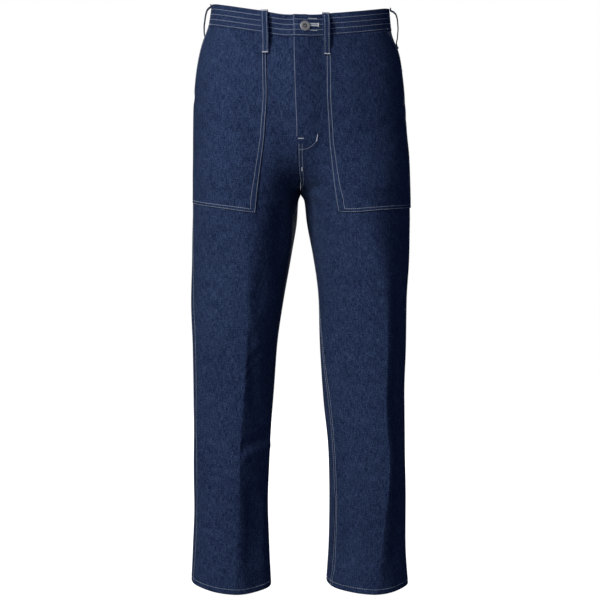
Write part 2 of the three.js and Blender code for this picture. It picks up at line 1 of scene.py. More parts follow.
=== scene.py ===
"""Straight denim work trousers, filled out as when worn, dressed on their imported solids."""
import math

import bmesh
import bpy
import numpy as np
from mathutils import Matrix, Vector


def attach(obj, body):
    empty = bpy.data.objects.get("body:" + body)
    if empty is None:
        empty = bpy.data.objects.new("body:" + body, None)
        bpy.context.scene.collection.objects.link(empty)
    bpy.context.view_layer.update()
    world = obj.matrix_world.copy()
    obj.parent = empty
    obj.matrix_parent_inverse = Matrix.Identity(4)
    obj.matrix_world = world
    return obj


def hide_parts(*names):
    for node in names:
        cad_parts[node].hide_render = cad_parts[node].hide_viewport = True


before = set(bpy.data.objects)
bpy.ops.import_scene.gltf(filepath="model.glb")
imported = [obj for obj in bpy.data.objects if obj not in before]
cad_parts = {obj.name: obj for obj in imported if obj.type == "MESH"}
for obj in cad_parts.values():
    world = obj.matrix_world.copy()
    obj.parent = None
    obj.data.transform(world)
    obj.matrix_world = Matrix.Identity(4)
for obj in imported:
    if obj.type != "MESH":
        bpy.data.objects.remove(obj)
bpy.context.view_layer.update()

MM = 0.001

# Sizes in millimetres
SEAM_GAP = 0.3
CLOTH = 1.4
CELL = 3.4  # one cell of a panel's grid
BAND_CLOTH = 2.4
BAND_HEIGHT = 38.0
BAND_PROUD = 0.6  # outer face of the band over the bare form
BAND_LIFT = 1.7  # how much further out the lapped end of the band stands
BAND_DROP = 1.5  # how much further in the end behind it lies
BAND_UNDERLAP = 27.0
FLY_LAP = 4.0
FLY_LIFT = 2.1
POCKET_CLOTH = 1.2
POCKET_LIFT = SEAM_GAP + POCKET_CLOTH + 0.15  # outer face of a pocket over its panel
POCKET_SWELL = 0.5
LOOP_WIDTH = 12.5
LOOP_CLOTH = 1.6
LOOP_BOW = 0.35  # how far a loop's middle stands over its long edges
BUTTON_RADIUS = 8.75
THREAD_PITCH = 3.3
THREAD_LONG = 2.75
THREAD_WIDE = 0.72
THREAD_HIGH = 0.45
THREAD_REST = 0.12  # middle of a stitch over the cloth

# Turns round a half, from the front middle (0), and stations down it, from the waist (0)
SIDE, BACK = 2, 4
ARC = 112.0  # millimetres of cloth to a turn, on the whole
CROTCH = 9  # station where the legs part
INSEAM_TURNS = (12.4, 15.4)  # stations between which the inseam comes forward
LAP_WHOLE, LAP_END, LAP_FLAT = 5.5, 5.62, 6  # stations where the fly's lap ends
LAP_EDGE = 0.03  # the lap's shift fades out over this much of the half
FACING_STATIONS, FACING_TURN = (7, 6), 0.08  # the cloth faces straight forward by the fly

ROUNDNESS = 0.56  # reach of the curves' handles
WAIST_ROLL = -0.0226  # slope of the waist edge, which is higher on the wearer's right
# The hem's cut: heights it is blended in between, middle of a hem, its slope outwards for
# each half, and its slope backwards before and behind the middle
HEM_BLEND = (-900, -1012)
HEM_X, HEM_Y = 120, 11
HEM_LEAN = {-1: -0.073, 1: -0.032}
HEM_SLOPES = (0.13, 0.05)

# Stations down the garment: outer sides, foremost, outermost and rearmost depths
STATION_NAMES = ("z", "out_r", "out_l", "front", "side", "back", "dip")
STATIONS = (
    (0, -155, 155, -119, 0, 111, 1),
    (-38, -161, 159, -124, 2, 120, 1),
    (-75, -173, 170.5, -129, 4, 132, 0.8),
    (-120, -181.5, 177.5, -133, 6, 145, 0.45),
    (-170, -186, 182.3, -135, 8, 153, 0.15),
    (-220, -187, 185.5, -134, 9, 156, 0),
    (-262, -187.6, 189.5, -131, 9, 154, 0),
    (-296, -188.5, 191, -127, 9, 148, 0),
    (-322, -189, 191.8, -125, 9, 141, 0),
    (-345, -189.5, 192.3, -123, 9, 134, 0),
    (-368, -189.4, 192.3, -121, 8, 128, 0),
    (-400, -190, 191.3, -117, 6, 120, 0),
    (-450, -190.8, 190, -110, 3, 109, 0),
    (-520, -192, 186.4, -100, -1, 97, 0),
    (-600, -190.3, 185.6, -91, -3, 86, 0),
    (-690, -188.7, 182.9, -82, -4, 76, 0),
    (-780, -188.2, 184.4, -76, -3, 74, 0),
    (-870, -188.3, 186.5, -70, 2, 76, 0),
    (-950, -191, 187.2, -64, 7, 79, 0),
    (-1012, -193.8, 190.5, -60, 11, 82, 0),
)
# The middle edge at the same stations: fly and seat seams, then the inseam
MIDDLE_NAMES = ("fz", "fx_r", "fx_l", "fy", "bz", "bx_r", "bx_l", "by", "turn_f", "turn_b")
MIDDLE = (
    (0, -9.3, -9.3, -120, 0, 5, 5, 109, 0, 0),
    (-38, -8.6, -8.6, -126, -38, 5, 5, 117, 0, 0),
    (-76, -8.1, -8.1, -131, -74, 4, 4, 127, 0, 0),
    (-122, -7.2, -7.2, -135, -116, 3, 3, 138, 0, 0),
    (-174, -5.7, -5.7, -137, -162, 2, 2, 145, 0, 4),
    (-222, -3.9, -3.9, -134, -206, 1, 1, 146, 4, 10),
    (-262, -4.2, -4.2, -123, -248, 0, 0, 138, 18, 20),
    (-292, -2.8, -2.8, -100, -284, 0, 0, 116, 38, 38),
    (-314, 0, 0, -57, -312, 0, 0, 72, 58, 58),
    (-326, 0, 0, 14, -326, 0, 0, 14, 90, 90),
    (-339, -4.4, 6.5, 14, -339, -4.4, 6.5, 14, 90, 90),
    (-376, -7.4, 11, 12, -376, -7.4, 11, 12, 90, 90),
    (-438, -17, 22, 8, -438, -17, 22, 8, 90, 90),
    (-518, -30.8, 31.8, 2, -518, -30.8, 31.8, 2, 90, 90),
    (-600, -42, 34.6, -1, -600, -42, 34.6, -1, 90, 90),
    (-690, -48.9, 40.7, -3, -690, -48.9, 40.7, -3, 90, 90),
    (-780, -54.2, 48.2, -2, -780, -54.2, 48.2, -2, 90, 90),
    (-870, -57.9, 50.9, 2, -870, -57.9, 50.9, 2, 90, 90),
    (-950, -56.2, 49.2, 7, -950, -56.2, 49.2, 7, 90, 90),
    (-1012, -52.4, 45.6, 11, -1012, -52.4, 45.6, 11, 90, 90),
)
# Foremost and rearmost places across the half section, how steeply each front falls away
# from the fly there, how sharply the leg turns on its shaded side, how far the side seam
# comes forward of the side, and how far both seams are twisted to the wearer's left
TURN_NAMES = ("front_r", "front_l", "tilt_r", "tilt_l", "back_at", "fold", "seam", "twist")
TURNS = (
    (0.4, 0.4, 0.1, 0.21, 0.42, 0, 0.0, 0.0),
    (0.4, 0.4, 0.1, 0.22, 0.42, 0, 0.0, 0.02),
    (0.4, 0.4, 0.1, 0.26, 0.44, 0, 0.0, 0.03),
    (0.42, 0.42, 0.09, 0.28, 0.46, 0, 0.0, 0.04),
    (0.44, 0.44, 0.07, 0.27, 0.48, 0, 0.0, 0.05),
    (0.46, 0.46, 0.05, 0.23, 0.5, 0, 0.01, 0.06),
    (0.48, 0.48, 0.02, 0.13, 0.5, 0, 0.02, 0.07),
    (0.5, 0.5, 0, 0.05, 0.5, 0, 0.03, 0.08),
    (0.5, 0.5, 0, 0, 0.5, 0, 0.04, 0.09),
    (0.5, 0.5, 0, 0, 0.5, 0, 0.05, 0.1),
    (0.49, 0.53, 0, 0, 0.5, 0.05, 0.06, 0.11),
    (0.47, 0.57, 0, 0, 0.5, 0.12, 0.07, 0.12),
    (0.43, 0.63, 0, 0, 0.5, 0.25, 0.08, 0.13),
    (0.38, 0.71, 0, 0, 0.5, 0.45, 0.09, 0.14),
    (0.34, 0.75, 0, 0, 0.5, 0.75, 0.1, 0.15),
    (0.36, 0.74, 0, 0, 0.5, 1, 0.1, 0.15),
    (0.37, 0.76, 0, 0, 0.5, 1, 0.1, 0.15),
    (0.37, 0.72, 0, 0, 0.5, 1, 0.1, 0.15),
    (0.41, 0.64, 0, 0, 0.5, 0.8, 0.1, 0.15),
    (0.46, 0.56, 0, 0, 0.5, 0.4, 0.1, 0.15),
)
FOLD_SHARP = 0.38  # how much the handles shorten where fold is 1

# Height of the waist edge over the side, front middle to back middle
WAIST_EDGE = np.array((-33.6, -33.2, -32.2, -30.4, -27, -21, -13.8, -6.4, -1.2, 1, 2.2, 3,
                       3.5, 3.8, 4, 4, 4), dtype=float)
WAIST_STEPS = 4  # entries of the list to a turn

# Folds: half, turn and height of both ends, half width, rise (below 0 is a trough)
FOLDS = (
    (-1, 0.38, -346, 0.23, -423, 10, 2.6),
    (-1, 0.51, -362, 0.44, -452, 13, -5),
    (-1, 0.64, -400, 0.74, -520, 18, -2.4),
    (-1, 0.84, -580, 0.63, -684, 14, -2.6),
    (-1, 0.27, -751, 0.84, -762, 10, -2.6),
    (-1, 0.18, -769, 0.77, -780, 10, 3.4),
    (-1, 0.31, -875, 0.35, -979, 13, 3),
    (-1, 0.62, -850, 0.64, -960, 14, -2.2),
    (-1, 1.6, -560, 1.6, -960, 20, -2),
    (1, 0.35, -324, 0.19, -391, 11, -3),
    (1, 0.21, -862, 0.32, -984, 12, -2.4),
    (1, 1.45, -500, 1.45, -950, 16, -2.4),
    (1, 0.5, -640, 0.62, -760, 17, -1.5),
    (-1, 3.6, -330, 2.9, -400, 17, -4.5),
    (1, 3.62, -325, 2.8, -385, 17, -4),
    (-1, 3.4, -385, 2.7, -440, 15, -3),
    (1, 3.5, -640, 2.5, -690, 20, -4),
    (-1, 3.4, -655, 2.4, -680, 20, -4.2),
    (-1, 3.4, -730, 2.5, -745, 18, -2.8),
    (1, 3.4, -745, 2.5, -730, 18, -3.2),
)
# Small creases, in the same columns, that are too fine for the solids
CREASES = (
    (-1, 1.28, -58, 0.98, -88, 4.2, -3.2),
    (-1, 1.3, -50, 1.0, -76, 5, 1.5),
    (-1, 1.3, -72, 1.02, -100, 6, 0.9),
    (-1, 1.9, -160, 1.6, -178, 9, -1.8),
    (1, 1.9, -168, 1.62, -176, 7, -1.6),
    (1, 1.92, -196, 1.7, -200, 6, -1.2),
    (-1, 1.04, -655, 0.66, -628, 6, -1.3),
    (-1, 1.02, -634, 0.64, -606, 6, -1.2),
    (-1, 0.92, -610, 0.7, -590, 5, 0.8),
    (-1, 1.2, -640, 1.5, -600, 12, 0.8),
    (1, 0.5, -560, 0.62, -700, 14, -1.0),
    (1, 0.7, -700, 0.95, -740, 11, 0.8),
    (1, 0.8, -780, 0.95, -860, 12, -0.8),
    (-1, 1.3, -800, 1.25, -930, 14, -1.0),
    (-1, 3.5, -300, 3.0, -330, 8, -1.8),
    (1, 3.55, -290, 3.05, -325, 8, -1.7),
    (-1, 2.9, -140, 2.4, -160, 9, -1.5),
    (1, 2.9, -150, 2.4, -168, 9, -1.5),
    (-1, 3.3, -625, 2.6, -636, 8, -1.8),
    (1, 3.35, -612, 2.6, -640, 8, -1.8),
    (-1, 3.2, -700, 2.5, -708, 7, 1.4),
    (1, 3.3, -705, 2.6, -700, 7, 1.4),
    (-1, 3.0, -800, 2.85, -930, 13, -1.2),
    (1, 2.8, -790, 2.95, -940, 13, -1.2),
)
# The cloth's own slow waves: height on the body, what the legs add, and where they begin
WAVE_BODY, WAVE_LEG = 0.35, 0.45
LEG_BLEND = (-300, -420)

LAST = len(STATIONS) - 1
COLUMNS = {}
for names, rows in ((STATION_NAMES, STATIONS), (MIDDLE_NAMES, MIDDLE), (TURN_NAMES, TURNS)):
    for place, label in enumerate(names):
        COLUMNS[label] = np.array([row[place] for row in rows], dtype=float)


def ease(low, high, t):
    k = np.clip((np.asarray(t, dtype=float) - low) / (high - low), 0, 1)
    return k * k * (3 - 2 * k)


def mix(a, b, t):
    return a + (b - a) * t


def read(values, v):
    """A table column at stations v, smooth and never past its rows."""
    last = len(values) - 1
    steps = np.diff(values)
    product = steps[:-1] * steps[1:]
    total = steps[:-1] + steps[1:]
    inner = np.where(product <= 0, 0.0, 2 * product / np.where(total == 0, 1.0, total))
    slopes = np.concatenate((steps[:1], inner, steps[-1:]))
    v = np.clip(np.asarray(v, dtype=float), 0, last)
    i = np.minimum(v.astype(int), last - 1)
    t = v - i
    t2, t3 = t * t, t * t * t
    return ((2 * t3 - 3 * t2 + 1) * values[i] + (t3 - 2 * t2 + t) * slopes[i]
            + (3 * t2 - 2 * t3) * values[i + 1] + (t3 - t2) * slopes[i + 1])


def bezier(a, b, c, d, t):
    u = 1 - t
    return u * u * u * a + 3 * u * u * t * b + 3 * u * t * t * c + t * t * t * d


def form(side, s_raw, v_raw):
    """Bare form in millimetres: s runs from the front middle (0) by the foremost point (1),
    the side (2) and the rearmost point (3) to the back middle (4); v is the station."""
    s_raw, v_raw = np.broadcast_arrays(np.asarray(s_raw, float), np.asarray(v_raw, float))
    v = np.clip(v_raw, 0, LAST)
    s = np.where(v > CROTCH, np.mod(s_raw, BACK), s_raw)
    c = {label: read(values, v) for label, values in COLUMNS.items()}
    gap = side * SEAM_GAP / 2 * ease(CROTCH + 0.6, CROTCH, v)
    out = c["out_r"] if side < 0 else c["out_l"]
    fx = (c["fx_r"] if side < 0 else c["fx_l"]) + gap
    bx = (c["bx_r"] if side < 0 else c["bx_l"]) + gap
    kx = mix(fx, out, c["front_r"] if side < 0 else c["front_l"])
    lx = mix(bx, out, c["back_at"])
    arc = np.clip(np.floor(s), 0, 3)
    t = s - arc
    k = ROUNDNESS
    k_in = k - FOLD_SHARP * c["fold"] * (side < 0)
    k_out = k - FOLD_SHARP * c["fold"] * (side > 0)
    turn_f, turn_b = np.radians(c["turn_f"]), np.radians(c["turn_b"])
    fy, by, back, mid = c["fy"], c["by"], c["back"], c["side"]
    tilt = c["tilt_r"] if side < 0 else c["tilt_l"]
    keel = tilt * np.abs(kx - fx)
    front = c["front"] + keel
    xs = (
        bezier(fx, fx + k_in * np.cos(turn_f) * (kx - fx), kx - k_in * (kx - fx), kx, t),
        bezier(kx, kx + k_out * (out - kx), out, out, t),
        bezier(out, out, lx + k * (out - lx), lx, t),
        bezier(lx, lx - k * (lx - bx), bx + k * np.cos(turn_b) * (lx - bx), bx, t),
    )
    ys = (
        bezier(fy, fy + k_in * (np.sin(turn_f) * (front - fy) + keel), front - k_in * keel,
               front, t),
        bezier(front, front + k_out * tilt * np.abs(out - kx), mid + k_out * (front - mid),
               mid, t),
        bezier(mid, mid + k * (back - mid), back, back, t),
        bezier(back, back, by + k * np.sin(turn_b) * (back - by), by, t),
    )
    blend = ease(0, 1, t)
    zs = (mix(c["fz"], c["z"], blend), c["z"], c["z"], mix(c["z"], c["bz"], blend))
    which = [arc == n for n in range(4)]
    x, y, z = (np.select(which, part) for part in (xs, ys, zs))
    z = z + c["dip"] * (read(WAIST_EDGE, s * WAIST_STEPS) + WAIST_ROLL * x)
    slope = np.where(y < HEM_Y, *HEM_SLOPES)
    z = z + ease(*HEM_BLEND, c["z"]) * (HEM_LEAN[side] * (x - side * HEM_X)
                                        + slope * (y - HEM_Y))
    z = z + np.maximum(0, -v_raw) * BAND_HEIGHT
    return np.stack((x, y, z), axis=-1)


TURN_STEP = 0.02
STATION_STEP = 0.03


def outward(side, s, v):
    """Directions straight out of the bare form."""
    s, v = np.broadcast_arrays(np.asarray(s, float), np.asarray(v, float))
    low = np.where(v > CROTCH, s - TURN_STEP, np.maximum(0, s - TURN_STEP))
    high = np.where(v > CROTCH, s + TURN_STEP, np.minimum(BACK, s + TURN_STEP))
    across = form(side, high, v) - form(side, low, v)
    above = form(side, s, np.clip(v - STATION_STEP, 0, LAST))
    down = form(side, s, np.minimum(v + STATION_STEP, LAST)) - above
    n = np.cross(across, down)
    n[..., 0] *= 1 - ease(*FACING_STATIONS, v) * ease(FACING_TURN, 0, s)
    return -side * n / np.maximum(np.linalg.norm(n, axis=-1, keepdims=True), 1e-9)


def rise(side, s, z):
    """Height of the folds, the creases and the cloth's own slow waves."""
    total = np.zeros(np.broadcast(s, z).shape)
    for half, s1, z1, s2, z2, width, height in FOLDS + CREASES:
        if half != side:
            continue
        run_x, run_z = (s2 - s1) * ARC, z2 - z1
        x, up = (s - s1) * ARC, z - z1
        t = np.clip((x * run_x + up * run_z) / (run_x * run_x + run_z * run_z), 0, 1)
        far = np.hypot(x - run_x * t, up - run_z * t) / width
        total = total + height * np.exp(-far * far)
    a = s * ARC  # the waves are two pairs of crossed sines, by millimetres round and down
    wave = (np.sin(a * 0.061 + z * 0.0073 + side) * np.sin(z * 0.0131 + 1.7 * side + a * 0.011)
            + 0.6 * np.sin(a * 0.113 - z * 0.0191 + 2.2 * side) * np.sin(z * 0.023 + 0.5))
    return total + wave * (WAVE_BODY + WAVE_LEG * ease(*LEG_BLEND, z))


def skin(side, s, v, out):
    """Points that stand out from the folded cloth, in millimetres."""
    p = form(side, s, v)
    n = outward(side, s, v)
    return p + n * (rise(side, s, p[..., 2]) + out)[..., None]


STATION_HALVINGS, TURN_HALVINGS = 24, 20


def station_at(side, s, z):
    """The station at turn s and height z, by halving."""
    s, z = np.broadcast_arrays(np.asarray(s, float), np.asarray(z, float))
    low, high = np.zeros(s.shape), np.full(s.shape, float(LAST))
    for _ in range(STATION_HALVINGS):
        half = (low + high) / 2
        above = form(side, s, half)[..., 2] > z
        low, high = np.where(above, half, low), np.where(above, high, half)
    return (low + high) / 2


def turn_at(side, x, z):
    """The turn on the front of a half at x and height z, by halving."""
    x, z = np.broadcast_arrays(np.asarray(x, float), np.asarray(z, float))
    low, high = np.full(x.shape, 0.001), np.full(x.shape, float(SIDE))
    for _ in range(TURN_HALVINGS):
        half = (low + high) / 2
        short = side * form(side, half, station_at(side, half, z))[..., 0] < side * x
        low, high = np.where(short, half, low), np.where(short, high, half)
    return (low + high) / 2


def seams(side, v):
    """Turns of the side seam and the inseam."""
    seam, twist = read(COLUMNS["seam"], v), read(COLUMNS["twist"], v)
    return (SIDE - seam + side * twist,
            ease(*INSEAM_TURNS, v) * (seam + side * twist))


def span(side, s, v):
    """Millimetres of cloth for one turn at a place."""
    step = form(side, s + TURN_STEP / 2, v) - form(side, s - TURN_STEP / 2, v)
    return np.linalg.norm(step, axis=-1) / TURN_STEP


# Patch pockets: points of the inner edge, station of the foot at the side, turn of the
# mouth's upper end and height of its lower end
POCKETS = {
    -1: dict(x=(-58.3, -56, -61, -67.7, -72, -75.6), z=(-70, -176, -243, -293, -326, -365),
             foot=9.0, mouth_top=1.86, mouth_z=-123.0),
    1: dict(x=(42.9, 43.4, 47.8, 56.4, 63), z=(-70, -176, -248, -320, -362),
            foot=9.25, mouth_top=1.75, mouth_z=-112.0),
}
POCKET_EDGE = 0.0135  # turn between a pocket's side edge and the side seam
EDGE_POINTS = 30
for half, plan in POCKETS.items():
    down = np.linspace(plan["z"][0], plan["z"][-1], EDGE_POINTS)
    inner = np.interp(-down, -np.array(plan["z"]), plan["x"])
    plan["turns"] = turn_at(half, inner, down)
    plan["levels"] = station_at(half, plan["turns"], down)
    plan["mouth_end"] = float(station_at(half, SIDE, plan["mouth_z"]))
BAND_FOOT = 1 + SEAM_GAP / 37  # a station lower here is 37 mm


def pocket_place(side, a, b):
    """Turn and station on a patch pocket: a from its inner edge to its mouth or side, b
    from the band to its foot."""
    plan = POCKETS[side]
    a, b = np.broadcast_arrays(np.asarray(a, float), np.asarray(b, float))
    foot = mix(plan["levels"][-1], plan["foot"], a)
    v = mix(BAND_FOOT, foot, b)
    inner = np.interp(v, plan["levels"], plan["turns"])
    edge = seams(side, v)[0] - POCKET_EDGE
    mouth = mix(plan["mouth_top"], edge, np.clip((v - 1) / (plan["mouth_end"] - 1), 0, 1))
    return mix(inner, mouth, a), v


def pocket_swell(a, b):
    return POCKET_SWELL * np.sin(np.pi * a) * np.sin(np.pi * b) ** 0.5


# ---- cloth from a plain grid
root = bpy.context.scene.collection


def finish_piece(bm, name, materials):
    mesh = bpy.data.meshes.new(name)
    bm.to_mesh(mesh)
    bm.free()
    for face in mesh.polygons:
        face.use_smooth = True
    piece = bpy.data.objects.new(name, mesh)
    root.objects.link(piece)
    for material in materials:
        mesh.materials.append(material)
    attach(piece, "root")
    return piece


def cloth(name, points, normals, materials, thick):
    """A sheet laid on rows of points (down, across), in millimetres, with a wall inwards
    and a UV map in metres of cloth. A second material goes on its inside."""
    down, across = points.shape[0] - 1, points.shape[1] - 1
    bm = bmesh.new()
    bmesh.ops.create_grid(bm, x_segments=across, y_segments=down, size=1)
    bm.verts.ensure_lookup_table()
    index = {vert.index: (round((1 - vert.co.y) / 2 * down), round((vert.co.x + 1) / 2 * across))
             for vert in bm.verts}
    steps = np.linalg.norm(np.diff(points, axis=1), axis=-1)
    u = np.concatenate((np.zeros((down + 1, 1)), np.cumsum(steps, axis=1)), axis=1)
    u = u - u[:, across // 2][:, None]
    steps = np.linalg.norm(np.diff(points[:, across // 2], axis=0), axis=-1)
    w = np.concatenate(([0], np.cumsum(steps)))
    for vert in bm.verts:
        vert.co = Vector(points[index[vert.index]] * MM)
    layer = bm.loops.layers.uv.new("cloth")
    for face in bm.faces:
        for loop in face.loops:
            j, i = index[loop.vert.index]
            loop[layer].uv = (u[j, i] * MM, -w[j] * MM)
    bm.normal_update()
    bm.faces.ensure_lookup_table()
    face = bm.faces[len(bm.faces) // 2]
    if face.normal.dot(Vector(normals[index[face.verts[0].index]])) < 0:
        bmesh.ops.reverse_faces(bm, faces=bm.faces[:])
    piece = finish_piece(bm, name, materials)
    wall = piece.modifiers.new("wall", "SOLIDIFY")
    wall.thickness = thick * MM
    wall.offset = -1
    wall.use_even_offset = False
    wall.use_rim = True
    if len(materials) > 1:
        wall.material_offset = 1
    return piece


def soften_edges(piece, width):
    """Round a band's or loop's edges, width in millimetres."""
    edge = piece.modifiers.new("edge", "BEVEL")
    edge.width = width * MM
    edge.segments = 2
    edge.limit_method = "ANGLE"
    edge.angle_limit = math.radians(55)


FINE_STATIONS = 1200


def even_stations(side, s, first, last, step):
    """Stations about one step of cloth apart along the line at turn s."""
    fine = np.linspace(first, last, FINE_STATIONS)
    line = form(side, np.full(fine.shape, s), fine)
    run = np.concatenate(([0], np.cumsum(np.linalg.norm(np.diff(line, axis=0), axis=-1))))
    count = int(run[-1] / step)
    return np.interp(np.linspace(0, run[-1], count + 1), run, fine)


# Rows of the turned hem after the last station: outset from the skin and rise, millimetres
HEM_TURN = ((-0.25, -0.55), (-0.9, -0.95), (-1.7, -0.95), (-2.4, -0.5), (-2.7, 0.3),
            (-2.7, 3.2), (-2.7, 6.2), (-2.7, 9.2))
FRONT_LINE, WIDE_LINE, BACK_LINE = 1.3, 1.4, 2.7  # turns that a panel's cells are measured at
PANEL_TURNS = 2.0
FLY_SLOPE = (48, 18)  # reach from the fly between which the lap rises


def fly_lift(s, v):
    """How far the left front stands out where it laps over the right one."""
    fly = form(1, np.zeros_like(v), np.minimum(v, CROTCH))
    near = ease(*FLY_SLOPE, np.abs(form(1, s, v)[..., 0] - fly[..., 0])) * (s < SIDE)
    return FLY_LIFT * ease(LAP_FLAT, LAP_END, v) * near


def front_edges(side, v):
    """Turns of a front panel's edges: at the fly or inseam, and at the side seam."""
    edge, inseam = seams(side, v)
    half_gap = SEAM_GAP / 2 / span(side, inseam + TURN_STEP, v)
    return (inseam + ease(CROTCH - 0.5, CROTCH, v) * half_gap,
            edge - SEAM_GAP / 2 / span(side, edge, v))


def back_edges(side, v):
    """Turns of a back panel's edges: at the side seam, and at the seat seam or inseam."""
    edge, inseam = seams(side, v)
    last = BACK + inseam
    half_gap = SEAM_GAP / 2 / span(side, last - TURN_STEP, v)
    return (edge + SEAM_GAP / 2 / span(side, edge, v),
            last - ease(CROTCH - 0.5, CROTCH, v) * half_gap)


def panel(name, side, line, edges, lapped=False):
    """A leg panel between its two seam edges, with a turned hem."""
    rows = even_stations(side, line, BAND_FOOT, LAST, CELL)
    start, end = edges(side, rows)
    count = int(np.max(span(side, WIDE_LINE, rows)) * PANEL_TURNS / CELL)
    across = np.linspace(0, 1, count + 1)[None, :]
    s = mix(start[:, None], end[:, None], across)
    v = np.broadcast_to(rows[:, None], s.shape)
    points = skin(side, s, v, fly_lift(s, v) if lapped else 0.0)
    if lapped:
        points[..., 0] -= FLY_LAP * ease(LAP_END, LAP_WHOLE, v) * ease(LAP_EDGE, 0.0, across)
    normals = outward(side, s, v)
    turned = [points[-1] + normals[-1] * outset + np.array((0, 0, up))
              for outset, up in HEM_TURN]
    points = np.concatenate((points, np.array(turned)), axis=0)
    normals = np.concatenate((normals, np.repeat(normals[-1:], len(HEM_TURN), axis=0)), axis=0)
    return cloth(name, points, normals, CLOTH_FINISH, CLOTH)


# ---- shader maths
class Value:
    """A number socket with the arithmetic that the finishes use."""

    def __init__(self, shader, socket):
        self.shader, self.socket = shader, socket

    def _math(self, operation, *others):
        return self.shader.maths(operation, self, *others)

    def __add__(self, other):
        return self._math("ADD", other)

    __radd__ = __add__

    def __sub__(self, other):
        return self._math("SUBTRACT", other)

    def __mul__(self, other):
        return self._math("MULTIPLY", other)

    def wave(self):
        return self._math("SINE")

    def held(self):
        node = self.shader.node("ShaderNodeClamp", {}, {"Value": self})
        return Value(self.shader, node.outputs[0])


class Finish:
    """A material, or the studio's backdrop, built from node calls."""

    def __init__(self, name, world=None):
        self.material = world or bpy.data.materials.new(name)
        self.material.use_nodes = True
        self.tree = self.material.node_tree
        self.tree.nodes.clear()

    def node(self, kind, settings, inputs):
        made = self.tree.nodes.new(kind)
        for key, value in settings.items():
            setattr(made, key, value)
        for key, value in inputs.items():
            self.feed(made.inputs[key], value)
        return made

    def feed(self, socket, value):
        if isinstance(value, Value):
            self.tree.links.new(value.socket, socket)
        elif isinstance(value, bpy.types.NodeSocket):
            self.tree.links.new(value, socket)
        else:
            socket.default_value = value

    def maths(self, operation, *values):
        made = self.node("ShaderNodeMath", {"operation": operation}, dict(enumerate(values)))
        return Value(self, made.outputs[0])

    def place(self, scale, source="cloth"):
        if source == "cloth":
            where = self.node("ShaderNodeUVMap", {"uv_map": "cloth"}, {}).outputs[0]
        else:
            where = self.node("ShaderNodeTexCoord", {}, {}).outputs["Object"]
        made = self.node("ShaderNodeMapping", {}, {"Vector": where, "Scale": scale})
        return made.outputs[0]

    def noise(self, where, scale, detail=2.0, rough=0.5):
        made = self.node("ShaderNodeTexNoise", {}, {
            "Vector": where, "Scale": scale, "Detail": detail, "Roughness": rough})
        return Value(self, made.outputs[0])

    def colours(self, factor, first, second):
        # Of this node's sockets, 6 and 7 in and 2 out are the ones for colours
        made = self.node("ShaderNodeMix", {"data_type": "RGBA"}, {0: factor, 6: first, 7: second})
        return made.outputs[2]

    def split(self, where):
        made = self.node("ShaderNodeSeparateXYZ", {}, {0: where})
        return Value(self, made.outputs[0]), Value(self, made.outputs[1])

    def surface(self, bump=None, **inputs):
        shader = self.node("ShaderNodeBsdfPrincipled", {}, {})
        for key, value in inputs.items():
            self.feed(shader.inputs[key.replace("_", " ")], value)
        if bump is not None:
            height, strength, distance = bump
            made = self.node("ShaderNodeBump", {}, {
                "Strength": strength, "Distance": distance, "Height": height})
            self.feed(shader.inputs["Normal"], made.outputs[0])
        self.node("ShaderNodeOutputMaterial", {}, {0: shader.outputs[0]})
        return self.material


TWILL_PITCH = 0.00115  # metres between two ribs, measured across the cloth


def denim(name, dark, mid, pale):
    """Raw indigo twill: warp streaks down the cloth, fine diagonal ribs, and mottling."""
    f = Finish(name)
    cloth_uv = f.place((1, 1, 1))  # scales are cells to a metre of cloth, across and along
    streak = f.noise(f.place((760, 130, 1)), 1.0, 3.0, 0.62)
    slub = f.noise(f.place((330, 62, 1)), 1.0, 2.0, 0.5)
    weft = f.noise(f.place((120, 640, 1)), 1.0, 2.0, 0.55)
    grain = f.noise(cloth_uv, 760.0, 2.0, 0.75)
    cloud = f.noise(cloth_uv, 46.0, 2.0, 0.5)
    broad = f.noise(cloth_uv, 9.0, 2.0, 0.5)
    across, along = f.split(cloth_uv)
    rib = ((across + along * 0.62) * (2 * math.pi / TWILL_PITCH)).wave() * 0.5 + 0.5
    tone = (streak * 0.36 + slub * 0.16 + weft * 0.2 + grain * 0.72 + cloud * 0.08
            + broad * 0.05 + rib * 0.07 - 0.32)
    contrast = ((tone - 0.5) * 4.7 + 0.47).held()
    low = f.colours((contrast * 2.0).held(), dark, mid)
    colour = f.colours((contrast * 2.0 - 1.0).held(), low, pale)
    height = rib * 0.45 + streak * 0.5 + grain * 0.5 + slub * 0.35
    rough = 0.84 + grain * 0.12
    return f.surface(
        bump=(height, 0.38, 0.00035),
        Base_Color=colour, Roughness=rough, Sheen_Weight=0.03, Sheen_Roughness=0.45,
        Sheen_Tint=(0.55, 0.66, 0.95, 1.0), Specular_IOR_Level=0.16)


def cotton_thread(name, colour, shade):
    f = Finish(name)
    where = f.place((1, 1, 1), source="object")
    ply = f.noise(where, 900.0, 2.0, 0.6)
    soil = f.noise(where, 60.0, 1.0, 0.5)
    tint = f.colours((ply * 0.7 + soil * 0.5 - 0.2).held(), shade, colour)
    return f.surface(bump=(ply, 0.35, 0.0002), Base_Color=tint, Roughness=0.62 + ply * 0.2,
                     Specular_IOR_Level=0.35, Sheen_Weight=0.1)


def metal(name, base, dark, rough):
    f = Finish(name)
    where = f.place((1, 1, 1), source="object")
    scuff = f.noise(where, 700.0, 3.0, 0.6)
    cloud = f.noise(where, 160.0, 2.0, 0.5)
    tint = f.colours((scuff * 0.6 + cloud * 0.6 - 0.15).held(), dark, base)
    return f.surface(bump=(scuff, 0.12, 0.0001), Base_Color=tint, Metallic=0.55,
                     Roughness=rough + scuff * 0.18)


